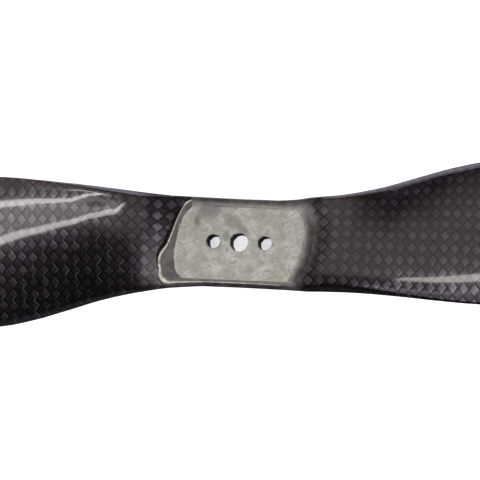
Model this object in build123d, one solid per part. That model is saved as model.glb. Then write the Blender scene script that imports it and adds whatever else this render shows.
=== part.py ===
from build123d import *
import math
import os

# Two-blade carbon-fibre propeller, 15 x 5.5 inch, clockwise seen from above.
# Origin: centre of the shaft bore, on the lower seating face of the hub.
# +X runs along the blades, +Z is the thrust direction. All sizes in millimetres.

# Driving dimensions
RADIUS = 190.5            # 15 inch diameter
PITCH = 139.7             # 5.5 inch of advance per turn
HUB_HEIGHT = 7.0          # between the two ground seating faces
MOULDED_HEIGHT = 7.4      # hub height as moulded, before grinding
SHAFT_BORE = 4.2          # centre hole diameter
SCREW_HOLE = 3.2          # clearance for M3 screws
SCREW_SPACING = 12.0      # between the two screw hole centres
SKIN = 0.4                # woven carbon skin, two plies
CAP_AT_HUB = 0.4          # unidirectional spar cap thickness
CAP_AT_TIP = 0.2
BOND = 0.04               # glue line between bonded pieces
THICK_BOND = 0.1          # thicker glue line round the fillers, where the shell closes
SPLIT = 0.02              # half the glue line where the two skins meet
INNER_BEND = 0.04         # softens the skins' inner faces where they close on each other
FACING = 0.8              # ply pack under each ground seating face
CAP_DEPTH_AT_HUB = 1.05   # spar caps dive under the hub facings
CAP_HALF_WIDTH = 7.0      # of the caps, where they pass under the facings
BEAD_HEIGHT = 0.4         # resin ridge along the seam beside the top window
BEAD_CREST = (0.7, 0.3)   # the crest lies between these shares of the bead's width
BEAD_BOND = 0.12          # the bead stands on a thicker film of resin

# Radii where pieces start and stop, and how the tip is rounded
HUB_BLOCK_END = 24.0
ROVING_END = 110.0
CAP_LEVEL_END = 15.2      # the caps are level up to here, then rise to the skins
CAP_RISE_END = 22.0
CAP_WIDE_END = 8.0        # the caps are wide up to here, then narrow to the blade's core
HELIX_BLEND = (46, 60)    # the root twist turns into the true helix between these radii
FILLER_END = 80.0
CORE_END = 140.0
TIP_FILL_END = 172.0
TIP_ROUND_START = 176.0   # the plan outline is rounded from here outwards
TIP_ROUND_LENGTH = 14.7
TIP_CENTRE = 1.6          # the tip lies this far behind the blade axis

# Blade shape by radius: (radius, value), joined by a smooth monotone curve
LEADING_EDGE = [(0, 10.2), (12, 10.35), (24, 10.7), (40, 11.55), (55, 12.4),
                (80, 12.7), (110, 11.6), (145, 9.4), (176, 6.3)]
TRAILING_EDGE = [(0, 10.2), (8, 10.22), (12, 10.5), (18, 11.37), (24, 12.45), (32, 14.4),
                 (40, 17.05), (48, 19.65), (55, 21.4), (70, 23.3), (100, 19.6),
                 (143, 14.3), (176, 9.7)]
ROOT_TWIST = [(0, 0.0), (12, 0.0), (18.6, 9.0), (23, 18.0), (28, 24.0), (35, 27.0),
              (45, 24.8), (60, 20.3)]
AXIS_HEIGHT = [(0, 0.0), (12, 0.0), (18.6, 1.7), (23, 3.0), (28, 4.6), (33, 5.6),
               (38, 6.2), (46, 6.3), (60, 5.9), (100, 5.6), (191, 5.6)]
THICKNESS = [(0, MOULDED_HEIGHT), (13, MOULDED_HEIGHT), (20, 6.6), (28, 5.6), (37, 4.8),
             (46, 4.3), (55, 3.9), (70, 3.5), (100, 2.8), (143, 2.0), (175, 1.5), (191, 0.95)]
AEROFOIL_SHARE = [(0, 0.0), (13, 0.0), (20, 0.25), (28, 0.55), (37, 0.8), (48, 0.95), (55, 1.0)]
CAMBER = 0.045            # of the chord, once the section is a full aerofoil
TRAILING_LIP = 0.7        # half thickness kept near the trailing edge
LIP_ROUND_START = 0.93    # chord fraction where the trailing edge starts to round off
TRAILING_DROOP = 0.9      # the trailing edge rolls down by this much
DROOP_START = 0.92        # chord fraction where it starts to roll down
DROOP_IN = (16, 24)       # radii over which the droop comes in, and fades away again
DROOP_OUT = (70, 110)
FOIL_FADE_START = 0.97    # chord fraction where the bare aerofoil is faded out under the lip
SLAB_ROUNDNESS = 8        # superellipse exponent of the hub section

# Chord fractions covered by the pieces inside the skins
CORE_SPAN = (0.13, 0.70)
CAP_SPAN_AT_HUB = (0.18, 0.82)
HUB_BLOCK_SPAN = (0.09, 0.91)
ROVING_SPAN = (0.03, 0.12)
FILLER_SPAN = (0.71, 0.82)
TIP_FILL_SPAN = (0.13, 0.60)

# Ground window of the hub: its two long sides, and the bowed ends that join them
WINDOW_BACK = 8.1
WINDOW_FRONT = -8.8
WINDOW_RIGHT_END = [(11.6, WINDOW_FRONT), (13.3, -5.2), (14.6, -1.2), (15.0, 2.8), (14.6, 6.0),
                    (13.0, WINDOW_BACK)]
WINDOW_LEFT_END = [(-11.2, WINDOW_BACK), (-13.2, 5.6), (-14.5, 1.4), (-15.0, -3.2),
                   (-14.6, -6.9), (-13.0, WINDOW_FRONT)]

# Line of the resin ridge on the upper skin of the left blade: (x, y, width)
SEAM_LINE = [(-11.6, 9.1, 0.4), (-13.1, 8.2, 0.4), (-14.5, 5.4, 0.4), (-15.7, 2.0, 0.5),
             (-16.7, -0.8, 0.5), (-18.3, -3.2, 0.8), (-18.6, -5.0, 1.1), (-18.2, -6.6, 1.1),
             (-17.6, -8.4, 1.2), (-17.0, -9.6, 0.9)]

CURVE_POINTS = 13         # points along each side of a section
WIDTH_SAMPLES = 200       # steps used to measure a section's width in plan
SEARCH_STEPS = 40         # halvings used to find the surface over a place in plan
SECTION_GAP = 0.5         # no loft section stands nearer than this to a piece's end
LOFT_RADII = [11, 13.5, 16, 19, 22, 25, 28.5, 32.5, 37, 42, 48, 55, 64, 76, 90, 105, 122, 140,
              158, 172, 179, 184, 187.5, 189.5, RADIUS]


def smooth_value(stations, radius):
    """Value at a radius on the monotone cubic through (radius, value) stations."""
    if radius <= stations[0][0]:
        return stations[0][1]
    if radius >= stations[-1][0]:
        return stations[-1][1]
    gaps = [b[0] - a[0] for a, b in zip(stations, stations[1:])]
    rises = [(b[1] - a[1]) / gap for a, b, gap in zip(stations, stations[1:], gaps)]
    slopes = [rises[0]]
    for before, after in zip(rises, rises[1:]):
        slopes.append(2 * before * after / (before + after) if before * after > 0 else 0.0)
    slopes.append(rises[-1])
    k = max(i for i, station in enumerate(stations[:-1]) if station[0] <= radius)
    w = (radius - stations[k][0]) / gaps[k]
    return ((1 + 2 * w) * (1 - w) ** 2 * stations[k][1]
            + w * (1 - w) ** 2 * gaps[k] * slopes[k]
            + w * w * (3 - 2 * w) * stations[k + 1][1]
            - w * w * (1 - w) * gaps[k] * slopes[k + 1])


def ease(low, high, value):
    """Smooth step from 0 at low to 1 at high."""
    w = min(1.0, max(0.0, (value - low) / (high - low)))
    return w * w * (3 - 2 * w)


def twist_angle(radius):
    """Blade angle in radians: the root twist first, then the true helix of the pitch."""
    helix = math.atan(PITCH / (2 * math.pi * max(radius, 1.0)))
    root = math.radians(smooth_value(ROOT_TWIST, radius))
    share = ease(*HELIX_BLEND, radius)
    return root * (1 - share) + helix * share


def edge_distance(stations, radius, centre):
    """Distance from the blade axis to an edge in plan, with the rounded tip."""
    distance = smooth_value(stations, radius)
    if radius <= TIP_ROUND_START:
        return distance
    w = (radius - TIP_ROUND_START) / TIP_ROUND_LENGTH
    return centre + (distance - centre) * math.sqrt(1 - w * w)


def slab_half(s):
    """Half thickness of the hub section, as a share of its greatest."""
    return (1 - abs(2 * s - 1) ** SLAB_ROUNDNESS) ** (1 / SLAB_ROUNDNESS)


def aerofoil_half(s):
    """Half thickness of a four-digit aerofoil, as a share of its greatest."""
    return 2.969 * math.sqrt(s) - 1.26 * s - 3.516 * s ** 2 + 2.843 * s ** 3 - 1.036 * s ** 4


class Section:
    """The blade's cross-section at one x: its chord, twist, thickness and camber."""

    def __init__(self, x):
        radius = abs(x)
        self.x = x
        self.turn = 1 if x >= 0 else -1
        self.front = edge_distance(LEADING_EDGE, radius, -TIP_CENTRE)
        self.back = edge_distance(TRAILING_EDGE, radius, TIP_CENTRE)
        self.angle = twist_angle(radius)
        self.height = HUB_HEIGHT / 2 + smooth_value(AXIS_HEIGHT, radius)
        self.thickness = smooth_value(THICKNESS, radius)
        self.share = smooth_value(AEROFOIL_SHARE, radius)
        self.droop = TRAILING_DROOP * ease(*DROOP_IN, radius) * (1 - ease(*DROOP_OUT, radius))
        samples = [i / WIDTH_SAMPLES for i in range(WIDTH_SAMPLES + 1)]
        reach = [self.local(s, side, 0)[0] for s in samples for side in (1, -1)]
        self.low = min(reach)
        self.scale = (self.front + self.back) / (max(reach) - self.low)

    def half(self, s):
        """Half thickness at chord fraction s, in millimetres."""
        lip = TRAILING_LIP * s ** 4
        if s > LIP_ROUND_START:
            lip *= math.sqrt(max(0.0, 1 - ((s - LIP_ROUND_START) / (1 - LIP_ROUND_START)) ** 2))
        fade = 1 - ease(FOIL_FADE_START, 1, s)
        foil = self.thickness / 2 * max(0.0, aerofoil_half(s)) * fade + lip
        return (1 - self.share) * self.thickness / 2 * slab_half(s) + self.share * foil

    def local(self, s, side, depth):
        """Distance towards the leading edge and height of a point below one surface."""
        chord = (self.front + self.back) / math.cos(self.angle)
        along = self.front / math.cos(self.angle) - s * chord
        camber = 4 * CAMBER * self.share * s * (1 - s) * chord
        room = self.half(s) - depth
        if depth:
            room = SPLIT + 0.5 * (room + math.hypot(room, INNER_BEND))
        fall = max(0.0, s - DROOP_START) / (1 - DROOP_START)
        up = camber + side * room - self.droop * fall ** 2
        return (along * math.cos(self.angle) - up * math.sin(self.angle),
                along * math.sin(self.angle) + up * math.cos(self.angle))

    def point(self, q, side, depth):
        """Point at q, counted 0 to 1 from the -y edge to the +y edge."""
        s = q if self.turn > 0 else 1 - q
        reach, rise = self.local(s, side, depth)
        reach = -self.back + (reach - self.low) * self.scale
        return Vector(self.x, -self.turn * reach, self.height + rise)


def span_at(section, span):
    """A chord span given from the leading edge, as a span from the -y edge."""
    return span if section.turn > 0 else (1 - span[1], 1 - span[0])


def surface_points(section, span, side, depth):
    """Points along one surface of a section, closer together near both ends."""
    points = []
    for i in range(CURVE_POINTS):
        w = (1 - math.cos(math.pi * i / (CURVE_POINTS - 1))) / 2
        points.append(section.point(span[0] + (span[1] - span[0]) * w, side, depth))
    return points


def ring(upper, lower):
    """Closed outline between two rows of points."""
    steps = [i / (CURVE_POINTS - 1) for i in range(CURVE_POINTS)]
    upper_curve = Edge.make_spline(upper, parameters=steps)
    lower_curve = Edge.make_spline(lower[::-1], parameters=steps)
    return Wire([upper_curve, Edge.make_line(upper[-1], lower[-1]), lower_curve,
                 Edge.make_line(lower[0], upper[0])])


def loft_positions(start, end):
    """The x positions of the sections from start to end."""
    positions = sorted({-r for r in LOFT_RADII} | set(LOFT_RADII))
    inner = [x for x in positions if start + SECTION_GAP < x < end - SECTION_GAP]
    return [start] + inner + [end]


def lofted(start, end, outline):
    """Solid through the outlines of every section from start to end, ruled in between."""
    wires = [outline(Section(x)) for x in loft_positions(start, end)]
    return Solid.make_loft(wires, ruled=True)


def skin(side):
    """One moulded half of the woven carbon shell, tip to tip, without the hub window."""
    def outline(section):
        chord = section.front + section.back
        inset = SKIN / chord
        outer = surface_points(section, (0.0, 1.0), side, 0)
        outer[0] = outer[0] + Vector(0, 0, side * SPLIT)
        outer[-1] = outer[-1] + Vector(0, 0, side * SPLIT)
        inner = surface_points(section, (inset, 1 - inset), side, SKIN)
        return ring(outer, inner)
    return lofted(-RADIUS, RADIUS, outline)


def cap_depth(section, side):
    """Depth of a spar cap's outer face under the moulded surface, level under the facings."""
    rise = section.height - HUB_HEIGHT / 2
    tilt = CAP_HALF_WIDTH * math.tan(section.angle)
    at_hub = max(SKIN + BOND, CAP_DEPTH_AT_HUB + side * rise + tilt)
    share = ease(CAP_LEVEL_END, CAP_RISE_END, abs(section.x))
    return at_hub * (1 - share) + (SKIN + BOND) * share


def cap_thickness(section):
    """Thickness of the spar cap, thinner towards the tip."""
    return CAP_AT_HUB + (CAP_AT_TIP - CAP_AT_HUB) * abs(section.x) / CORE_END


def core_depth(section, side):
    """Depth of the filling between the spar caps."""
    return cap_depth(section, side) + cap_thickness(section) + BOND


def spar_cap(side):
    """Unidirectional carbon tape through the hub and along both blades."""
    def outline(section):
        share = ease(CAP_WIDE_END, HUB_BLOCK_END, abs(section.x))
        span = [a + (b - a) * share for a, b in zip(CAP_SPAN_AT_HUB, CORE_SPAN)]
        q = span_at(section, span)
        depth = cap_depth(section, side)
        return ring(surface_points(section, q, side, depth),
                    surface_points(section, q, side, depth + cap_thickness(section)))
    return lofted(-CORE_END, CORE_END, outline)


def filling(start, end, span, depth):
    """Solid filling between the two surfaces, within a chord span."""
    def outline(section):
        q = span_at(section, span)
        return ring(surface_points(section, q, 1, depth(section, 1)),
                    surface_points(section, q, -1, depth(section, -1)))
    return lofted(start, end, outline)


def under_skin(section, side):
    """Depth of a piece that lies straight against the skins."""
    return SKIN + BOND


def in_glue(section, side):
    """Depth of a filler, which lies in a thicker bed of glue."""
    return SKIN + THICK_BOND


def on_top(x, y):
    """Point of the moulded upper surface over a place in plan."""
    section = Section(x)
    low, high = 0.0, 1.0
    for _ in range(SEARCH_STEPS):
        middle = (low + high) / 2
        if section.point(middle, 1, 0).Y < y:
            low = middle
        else:
            high = middle
    return section.point(low, 1, 0)


def seam_bead():
    """Thin ridge of cured resin on the upper skin, beside the left end of the window."""
    wires = []
    for i, (x, y, width) in enumerate(SEAM_LINE):
        before = SEAM_LINE[max(i - 1, 0)]
        after = SEAM_LINE[min(i + 1, len(SEAM_LINE) - 1)]
        along = Vector(after[0] - before[0], after[1] - before[1], 0).normalized()
        across = Vector(-along.Y, along.X, 0) * (width / 2)
        feet = [on_top(x + side * across.X, y + side * across.Y) for side in (-1, 1)]
        slope = feet[1] - feet[0]
        up = slope.cross(along).normalized()
        up = up * (1 if up.Z > 0 else -1)
        feet = [foot + up * BEAD_BOND for foot in feet]
        crest = [feet[0] + slope * share + up * BEAD_HEIGHT for share in BEAD_CREST]
        wires.append(Wire.make_polygon([feet[0], feet[1], *crest], close=True))
    return Solid.make_loft(wires, ruled=True)


def window_outline(clearance):
    """Plan outline of the ground window, drawn in by a clearance."""
    shrink = 1 - clearance / WINDOW_BACK
    right = [(x * shrink, y * shrink) for x, y in WINDOW_RIGHT_END]
    left = [(x * shrink, y * shrink) for x, y in WINDOW_LEFT_END]
    return make_face([Spline(*right), Line(right[-1], left[0]), Spline(*left),
                      Line(left[-1], right[0])])


def window_block(bottom, top, clearance):
    """Upright block with the outline of the ground window."""
    return extrude(window_outline(clearance).moved(Location((0, 0, bottom))), top - bottom)


def below_seat():
    """Everything lower than the seating face."""
    return Box(3 * RADIUS, RADIUS, HUB_HEIGHT, align=(Align.CENTER, Align.CENTER, Align.MAX))


def hub_holes():
    """The shaft bore and the two screw holes."""
    bore = Cylinder(SHAFT_BORE / 2, 4 * HUB_HEIGHT)
    screws = [Pos(side * SCREW_SPACING / 2, 0, 0) * Cylinder(SCREW_HOLE / 2, 4 * HUB_HEIGHT)
              for side in (-1, 1)]
    return bore + screws


def save(name, shape):
    """Write one sub-part to its own STEP file."""
    shape.label = name
    export_step(shape, f"parts/{name}.step")


def main():
    """Build every sub-part and write it out."""
    os.makedirs("parts", exist_ok=True)
    holes = hub_holes()
    top_window = window_block(HUB_HEIGHT - FACING, 3 * HUB_HEIGHT, 0)
    bottom_window = window_block(-HUB_HEIGHT, FACING, 0)
    save("upper_skin", skin(1) - top_window)
    save("lower_skin", skin(-1) - bottom_window - below_seat())
    save("hub_top_facing", window_block(HUB_HEIGHT - FACING, HUB_HEIGHT, BOND) - holes)
    save("hub_bottom_facing", window_block(0, FACING, BOND) - holes)
    save("upper_spar_cap", spar_cap(1) - holes)
    save("lower_spar_cap", spar_cap(-1) - holes)
    save("hub_block", filling(-HUB_BLOCK_END, HUB_BLOCK_END, HUB_BLOCK_SPAN, core_depth) - holes)
    save("seam_bead", seam_bead())
    for hand, turn in (("right", 1), ("left", -1)):
        inner = turn * (HUB_BLOCK_END + BOND)
        pieces = {
            "foam_core": (CORE_END, CORE_SPAN, core_depth),
            "leading_edge_roving": (ROVING_END, ROVING_SPAN, under_skin),
            "trailing_edge_filler": (FILLER_END, FILLER_SPAN, in_glue),
        }
        for name, (end, span, depth) in pieces.items():
            start, stop = sorted((inner, turn * end))
            save(f"{name}_{hand}", filling(start, stop, span, depth))
        start, stop = sorted((turn * (CORE_END + BOND), turn * TIP_FILL_END))
        save(f"tip_filler_{hand}", filling(start, stop, TIP_FILL_SPAN, under_skin))


main()
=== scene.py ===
"""Looks of a two-blade carbon-fibre propeller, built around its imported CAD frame.

The woven skins, the ground hub facings and the resin ridge at the seam are modelled here
in full detail on the same blade geometry as the frame. The sealed pieces inside keep
their CAD shapes and get their own finishes. All lengths are metres unless named mm.
"""

import logging
import math
from dataclasses import dataclass, field
from enum import Enum
from typing import Sequence

import bmesh
import bpy
from mathutils import Matrix, Vector


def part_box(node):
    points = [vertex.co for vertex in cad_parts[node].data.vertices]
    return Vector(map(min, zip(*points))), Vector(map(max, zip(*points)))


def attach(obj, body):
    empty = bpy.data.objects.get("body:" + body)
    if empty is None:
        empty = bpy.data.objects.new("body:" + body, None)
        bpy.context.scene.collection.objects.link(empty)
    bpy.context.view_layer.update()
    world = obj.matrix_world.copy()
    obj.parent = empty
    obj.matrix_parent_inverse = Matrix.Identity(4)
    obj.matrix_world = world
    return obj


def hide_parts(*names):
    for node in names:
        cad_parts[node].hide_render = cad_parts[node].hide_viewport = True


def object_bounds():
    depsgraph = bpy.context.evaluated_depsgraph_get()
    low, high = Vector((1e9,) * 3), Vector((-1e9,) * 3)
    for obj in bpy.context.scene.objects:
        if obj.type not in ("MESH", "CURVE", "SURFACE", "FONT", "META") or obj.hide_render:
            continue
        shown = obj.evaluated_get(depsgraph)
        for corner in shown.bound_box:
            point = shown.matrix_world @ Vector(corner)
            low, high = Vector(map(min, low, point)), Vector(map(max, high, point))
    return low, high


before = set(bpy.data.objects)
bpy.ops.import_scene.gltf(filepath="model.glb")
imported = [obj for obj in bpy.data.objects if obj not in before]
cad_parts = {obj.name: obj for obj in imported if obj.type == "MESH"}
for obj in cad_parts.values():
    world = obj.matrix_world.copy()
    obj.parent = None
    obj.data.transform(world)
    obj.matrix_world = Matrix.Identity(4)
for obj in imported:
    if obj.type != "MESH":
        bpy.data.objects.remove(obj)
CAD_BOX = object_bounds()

LOG = logging.getLogger("propeller")
MM = 0.001
Stations = Sequence[tuple[float, float]]
Tree = bpy.types.NodeTree
Socket = bpy.types.NodeSocket
Piece = bpy.types.Object


class Side(Enum):
    """The two moulded sides of the blade."""

    UPPER = 1
    LOWER = -1


class Tow(Enum):
    """The two directions of the carbon tows in the plain weave, as turns from the blade axis."""

    WARP = math.radians(45)
    WEFT = math.radians(-45)


# ---------------------------------------------------------------- small helpers

def ease(low: float, high: float, value: float) -> float:
    """Return a smooth step from 0 at low to 1 at high."""
    w = min(1.0, max(0.0, (value - low) / (high - low)))
    return w * w * (3 - 2 * w)


def smooth_value(stations: Stations, radius: float) -> float:
    """Read the monotone cubic through stations.

    Args:
        stations: (radius, value) pairs in millimetres, in order.
        radius: where to read it.

    Returns:
        The value at that radius, held level past both ends.
    """
    if radius <= stations[0][0]:
        return stations[0][1]
    if radius >= stations[-1][0]:
        return stations[-1][1]
    gaps = [b[0] - a[0] for a, b in zip(stations, stations[1:])]
    rises = [(b[1] - a[1]) / gap for a, b, gap in zip(stations, stations[1:], gaps)]
    slopes = [rises[0]]
    for before, after in zip(rises, rises[1:]):
        slopes.append(2 * before * after / (before + after) if before * after > 0 else 0.0)
    slopes.append(rises[-1])
    k = max(i for i, station in enumerate(stations[:-1]) if station[0] <= radius)
    w = (radius - stations[k][0]) / gaps[k]
    return ((1 + 2 * w) * (1 - w) ** 2 * stations[k][1]
            + w * (1 - w) ** 2 * gaps[k] * slopes[k]
            + w * w * (3 - 2 * w) * stations[k + 1][1]
            - w * w * (1 - w) * gaps[k] * slopes[k + 1])


def linear(code: str) -> tuple[float, float, float, float]:
    """Turn an sRGB hex code into a linear colour.

    Args:
        code: six hex digits.

    Returns:
        Red, green, blue and alpha 1 for a shader socket.
    """
    def channel(start: int) -> float:
        """Return one channel as linear light."""
        value = int(code[start:start + 2], 16) / 255
        return value / 12.92 if value <= 0.04045 else ((value + 0.055) / 1.055) ** 2.4
    return channel(0), channel(2), channel(4), 1.0


# ---------------------------------------------------------------- the blade's geometry

@dataclass(frozen=True)
class BladeShape:
    """The moulded form: plan outline, twist, thickness and camber by radius, in millimetres."""

    radius: float = 190.5
    pitch: float = 139.7
    hub_height: float = 7.0
    roundness: float = 8.0
    camber: float = 0.045
    lip: float = 0.7
    lip_start: float = 0.93
    foil_fade_start: float = 0.97
    droop: float = 0.9
    droop_start: float = 0.92
    droop_in: tuple[float, float] = (16, 24)
    droop_out: tuple[float, float] = (70, 110)
    helix_blend: tuple[float, float] = (46, 60)
    tip_start: float = 176.0
    tip_length: float = 14.7
    tip_centre: float = 1.6
    front: Stations = ((0, 10.2), (12, 10.35), (24, 10.7), (40, 11.55), (55, 12.4),
                       (80, 12.7), (110, 11.6), (145, 9.4), (176, 6.3))
    back: Stations = ((0, 10.2), (8, 10.22), (12, 10.5), (18, 11.37), (24, 12.45),
                      (32, 14.4), (40, 17.05), (48, 19.65), (55, 21.4), (70, 23.3),
                      (100, 19.6), (143, 14.3), (176, 9.7))
    root_twist: Stations = ((0, 0.0), (12, 0.0), (18.6, 9.0), (23, 18.0), (28, 24.0),
                            (35, 27.0), (45, 24.8), (60, 20.3))
    axis_height: Stations = ((0, 0.0), (12, 0.0), (18.6, 1.7), (23, 3.0), (28, 4.6),
                             (33, 5.6), (38, 6.2), (46, 6.3), (60, 5.9), (100, 5.6))
    thickness: Stations = ((0, 7.4), (13, 7.4), (20, 6.6), (28, 5.6), (37, 4.8), (46, 4.3),
                           (55, 3.9), (70, 3.5), (100, 2.8), (143, 2.0), (175, 1.5),
                           (191, 0.95))
    foil_share: Stations = ((0, 0.0), (13, 0.0), (20, 0.25), (28, 0.55), (37, 0.8),
                            (48, 0.95), (55, 1.0))

    def edge(self, stations: Stations, radius: float, centre: float) -> float:
        """Return the distance from the blade axis to one edge, rounded at the tip."""
        distance = smooth_value(stations, radius)
        if radius <= self.tip_start:
            return distance
        w = (radius - self.tip_start) / self.tip_length
        return centre + (distance - centre) * math.sqrt(max(0.0, 1 - w * w))

    def twist(self, radius: float) -> float:
        """Return the blade angle: root twist near the hub, true helix further out."""
        helix = math.atan(self.pitch / (2 * math.pi * max(radius, 1.0)))
        root = math.radians(smooth_value(self.root_twist, radius))
        share = ease(*self.helix_blend, radius)
        return root * (1 - share) + helix * share


class Section:
    """One cross-section of the blade, ready to give points on and under its surfaces."""

    SAMPLES = 120
    SPLIT = 0.02
    INNER_BEND = 0.04

    def __init__(self, shape: BladeShape, x: float) -> None:
        """Work out the section's chord, angle and width at x, in millimetres."""
        radius = abs(x)
        self.shape = shape
        self.x = x
        self.turn = 1 if x >= 0 else -1
        self.front = shape.edge(shape.front, radius, -shape.tip_centre)
        self.back = shape.edge(shape.back, radius, shape.tip_centre)
        self.angle = shape.twist(radius)
        self.height = shape.hub_height / 2 + smooth_value(shape.axis_height, radius)
        self.thickness = smooth_value(shape.thickness, radius)
        self.share = smooth_value(shape.foil_share, radius)
        self.droop = shape.droop * ease(*shape.droop_in, radius) * (
            1 - ease(*shape.droop_out, radius))
        steps = [i / self.SAMPLES for i in range(self.SAMPLES + 1)]
        reach = [self._local(s, side, 0.0)[0] for s in steps for side in (1, -1)]
        self.low = min(reach)
        self.scale = (self.front + self.back) / (max(reach) - self.low)

    def _half(self, s: float) -> float:
        """Return the half thickness at chord fraction s."""
        shape = self.shape
        lip = shape.lip * s ** 4
        if s > shape.lip_start:
            w = (s - shape.lip_start) / (1 - shape.lip_start)
            lip *= math.sqrt(max(0.0, 1 - w * w))
        foil = (2.969 * math.sqrt(s) - 1.26 * s - 3.516 * s ** 2
                + 2.843 * s ** 3 - 1.036 * s ** 4)
        foil = self.thickness / 2 * max(0.0, foil) * (1 - ease(shape.foil_fade_start, 1, s)) + lip
        slab = (1 - abs(2 * s - 1) ** shape.roundness) ** (1 / shape.roundness)
        return (1 - self.share) * self.thickness / 2 * slab + self.share * foil

    def _local(self, s: float, side: int, depth: float) -> tuple[float, float]:
        """Return reach towards the leading edge and rise of a point under one surface."""
        chord = (self.front + self.back) / math.cos(self.angle)
        along = self.front / math.cos(self.angle) - s * chord
        room = self._half(s) - depth
        if depth:
            room = self.SPLIT + 0.5 * (room + math.hypot(room, self.INNER_BEND))
        fall = max(0.0, s - self.shape.droop_start) / (1 - self.shape.droop_start)
        up = (4 * self.shape.camber * self.share * s * (1 - s) * chord + side * room
              - self.droop * fall ** 2)
        return (along * math.cos(self.angle) - up * math.sin(self.angle),
                along * math.sin(self.angle) + up * math.cos(self.angle))

    def point(self, q: float, side: int, depth: float = 0.0) -> Vector:
        """Give a point of the section.

        Args:
            q: place across the blade, 0 at the -y edge and 1 at the +y edge.
            side: 1 for the upper surface, -1 for the lower.
            depth: distance under the surface, in millimetres.

        Returns:
            The point in millimetres.
        """
        s = q if self.turn > 0 else 1 - q
        reach, rise = self._local(min(1.0, max(0.0, s)), side, depth)
        reach = -self.back + (reach - self.low) * self.scale
        return Vector((self.x, -self.turn * reach, self.height + rise))


@dataclass(frozen=True)
class HubOutline:
    """The ground window of the hub and the resin ridge beside it, in millimetres."""

    right_end: Stations = ((11.6, -8.8), (13.3, -5.2), (14.6, -1.2), (15.0, 2.8),
                           (14.6, 6.0), (13.0, 8.1))
    left_end: Stations = ((-11.2, 8.1), (-13.2, 5.6), (-14.5, 1.4), (-15.0, -3.2),
                          (-14.6, -6.9), (-13.0, -8.8))
    back: float = 8.1
    front: float = -8.8
    ridge: Sequence[tuple[float, float, float]] = (
        (-11.5, 9.4, 0.3), (-13.1, 8.3, 0.3), (-14.6, 5.3, 0.35), (-15.7, 2.0, 0.4),
        (-16.9, -1.2, 0.55), (-18.2, -3.2, 0.75), (-18.6, -5.0, 0.85), (-18.3, -6.8, 0.85),
        (-17.9, -8.4, 0.9), (-17.2, -9.4, 1.0), (-16.0, -9.9, 0.6), (-13.5, -9.75, 0.3),
        (-7.0, -9.45, 0.2), (-1.0, -9.4, 0.2), (5.0, -9.45, 0.16), (10.0, -9.55, 0.1))
    ridge_feet: int = 10
    plan_level: float = 7.0
    lift_right: float = 0.35
    lift_free: tuple[float, float] = (2.0, 3.0)
    lift_left: float = 2.0
    bare_left: tuple[float, float] = (-24.0, -21.0)
    fade_right: tuple[float, float] = (-0.9, 1.6)
    fade_back: tuple[float, float] = (7.3, 9.4)
    satin_right: tuple[float, float] = (2.0, 4.5)
    polish_right: tuple[float, float] = (3.5, 8.0)
    polish_left: float = -22.5
    polish_slant: float = 2.5
    polish_blend: float = 3.0
    smear_share: float = 0.35
    smear_back: tuple[float, float] = (-8.0, 3.5)
    ridge_edge: tuple[float, float] = (-0.15, 0.35)

    @staticmethod
    def curve(points: Stations, steps: int = 8) -> list[tuple[float, float]]:
        """Return a smooth curve through points, with steps pieces between each two."""
        ends = [(2 * points[0][0] - points[1][0], 2 * points[0][1] - points[1][1])]
        last = (2 * points[-1][0] - points[-2][0], 2 * points[-1][1] - points[-2][1])
        line = [*ends, *points, last]
        result = []
        for a, b, c, d in zip(line, line[1:], line[2:], line[3:]):
            for i in range(steps):
                t = i / steps
                result.append(tuple(
                    0.5 * (2 * b[k] + (c[k] - a[k]) * t
                           + (2 * a[k] - 5 * b[k] + 4 * c[k] - d[k]) * t * t
                           + (3 * b[k] - a[k] - 3 * c[k] + d[k]) * t ** 3)
                    for k in range(2)))
        return [*result, tuple(points[-1][:2])]

    def window(self) -> list[tuple[float, float]]:
        """Return the closed outline of the ground window."""
        return self.curve(self.right_end) + self.curve(self.left_end)

    def right_of(self, x: float, y: float) -> float:
        """Return how far a place in plan lies past the window's right end."""
        return x - smooth_value(sorted((b, a) for a, b in self.right_end), y)

    def left_of(self, x: float, y: float) -> float:
        """Return how far a place in plan lies past the resin ridge, on its left."""
        line = sorted((point[1], point[0]) for point in self.ridge[:self.ridge_feet])
        return smooth_value(line, y) - x

    def top_limit(self, x: float, y: float) -> float:
        """Return the greatest height that grinding left at a place in plan."""
        beside = max(self.right_of(x, y), y - self.back, self.front - y, 0.0)
        start, rate = self.lift_free
        limit = self.plan_level + self.lift_right * beside + rate * max(0.0, beside - start)
        if x < 0:
            limit = self.plan_level + self.lift_left * max(0.0, self.left_of(x, y))
        return limit

    def resin(self, x: float, y: float) -> float:
        """Tell how far plain resin hides the cloth: 1 beside the window, 0 over the weave."""
        if x < 0:
            smear = (self.smear_share * (1 - ease(*self.smear_back, y))
                     * ease(*self.bare_left, x))
            return max(smear, 1 - ease(*self.ridge_edge, self.left_of(x, y)))
        return 1 - ease(*self.satin_right, self.right_of(x, y))

    def ground(self, x: float, y: float) -> float:
        """Tell how pale the ground face is: 1 on the open face, 0 where grinding stopped."""
        left = smooth_value(sorted((b, a) for a, b in self.left_end), y)
        if y < self.front or x < left - 0.05:
            return 0.0
        past = self.right_of(x, min(y, self.back - 1.0))
        return (1 - ease(*self.fade_right, past)) * (1 - ease(*self.fade_back, y))

    def gloss(self, x: float, y: float) -> float:
        """Tell how much clear polished epoxy is left on top, 0 beside the window."""
        if x < 0:
            bare = self.polish_left + self.polish_slant * ease(-2.0, 5.0, y)
            return ease(0.0, self.polish_blend, bare - x)
        return ease(*self.polish_right, self.right_of(x, y))


# ---------------------------------------------------------------- shader building

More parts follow.
